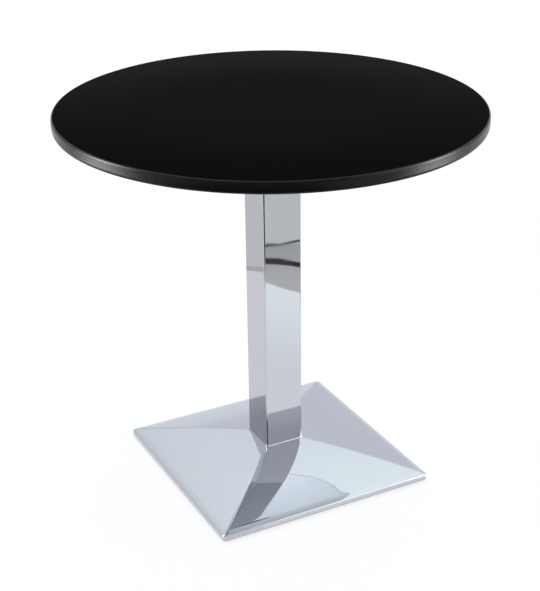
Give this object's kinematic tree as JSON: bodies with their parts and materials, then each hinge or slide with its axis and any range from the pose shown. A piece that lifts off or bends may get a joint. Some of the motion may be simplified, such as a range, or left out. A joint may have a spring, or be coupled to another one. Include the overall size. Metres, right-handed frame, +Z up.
{
  "type": "bistro table",
  "caption": "Round-topped bistro table on a square chrome column and a square pressed pyramid foot with levelling feet.",
  "frame": {"origin": "on the floor under the middle of the column", "axes": "+Z up along the column; X and Y are parallel to the sides of the square foot"},
  "size_m": [0.8, 0.8, 0.75],
  "materials": {
    "laminate": "black high-pressure laminate, fine satin",
    "backing": "pale balancing laminate on the underside",
    "edging": "black moulded plastic, satin",
    "board": "dense particle board, hidden",
    "chrome": "bright chrome plating on steel",
    "cast_iron": "black stoved paint over a sand casting",
    "zinc_steel": "zinc-plated steel",
    "nylon": "black moulded nylon"
  },
  "bodies": {
    "table": {"top_laminate": "laminate", "tabletop_core": "board", "backing_laminate": "backing", "edge_band": "edging", "top_plate": "cast_iron", "top_screw_1": "zinc_steel", "top_screw_2": "zinc_steel", "top_screw_3": "zinc_steel", "top_screw_4": "zinc_steel", "top_screw_5": "zinc_steel", "top_screw_6": "zinc_steel", "top_screw_7": "zinc_steel", "top_screw_8": "zinc_steel", "column_tube": "chrome", "tie_rod": "zinc_steel", "top_nut": "zinc_steel", "top_washer": "zinc_steel", "bottom_nut": "zinc_steel", "bottom_washer": "zinc_steel", "base_cover": "chrome", "base_weight": "cast_iron"},
    "foot_1": {"foot_pad_1": "nylon"},
    "stud_1": {"foot_stud_1": "zinc_steel"},
    "foot_2": {"foot_pad_2": "nylon"},
    "stud_2": {"foot_stud_2": "zinc_steel"},
    "foot_3": {"foot_pad_3": "nylon"},
    "stud_3": {"foot_stud_3": "zinc_steel"},
    "foot_4": {"foot_pad_4": "nylon"},
    "stud_4": {"foot_stud_4": "zinc_steel"}
  },
  "joints": [
    {"name": "foot_1_raise", "type": "slide", "parent": "table", "child": "foot_1", "axis": [0, 0, -1], "range_m": [0, 0.01]},
    {"name": "stud_1_turn", "type": "hinge", "parent": "foot_1", "child": "stud_1", "pos_m": [0.165, 0.165, 0.01], "axis": [0, 0, -1], "range_deg": [0, 2881]},
    {"name": "foot_2_raise", "type": "slide", "parent": "table", "child": "foot_2", "axis": [0, 0, -1], "range_m": [0, 0.01]},
    {"name": "stud_2_turn", "type": "hinge", "parent": "foot_2", "child": "stud_2", "pos_m": [-0.165, 0.165, 0.01], "axis": [0, 0, -1], "range_deg": [0, 2881]},
    {"name": "foot_3_raise", "type": "slide", "parent": "table", "child": "foot_3", "axis": [0, 0, -1], "range_m": [0, 0.01]},
    {"name": "stud_3_turn", "type": "hinge", "parent": "foot_3", "child": "stud_3", "pos_m": [-0.165, -0.165, 0.01], "axis": [0, 0, -1], "range_deg": [0, 2881]},
    {"name": "foot_4_raise", "type": "slide", "parent": "table", "child": "foot_4", "axis": [0, 0, -1], "range_m": [0, 0.01]},
    {"name": "stud_4_turn", "type": "hinge", "parent": "foot_4", "child": "stud_4", "pos_m": [0.165, -0.165, 0.01], "axis": [0, 0, -1], "range_deg": [0, 2881]}
  ],
  "couplings": [
    {"joint": "stud_1_turn", "follows": "foot_1_raise", "rad_per_m": 5026.5},
    {"joint": "stud_2_turn", "follows": "foot_2_raise", "rad_per_m": 5026.5},
    {"joint": "stud_3_turn", "follows": "foot_3_raise", "rad_per_m": 5026.5},
    {"joint": "stud_4_turn", "follows": "foot_4_raise", "rad_per_m": 5026.5}
  ]
}
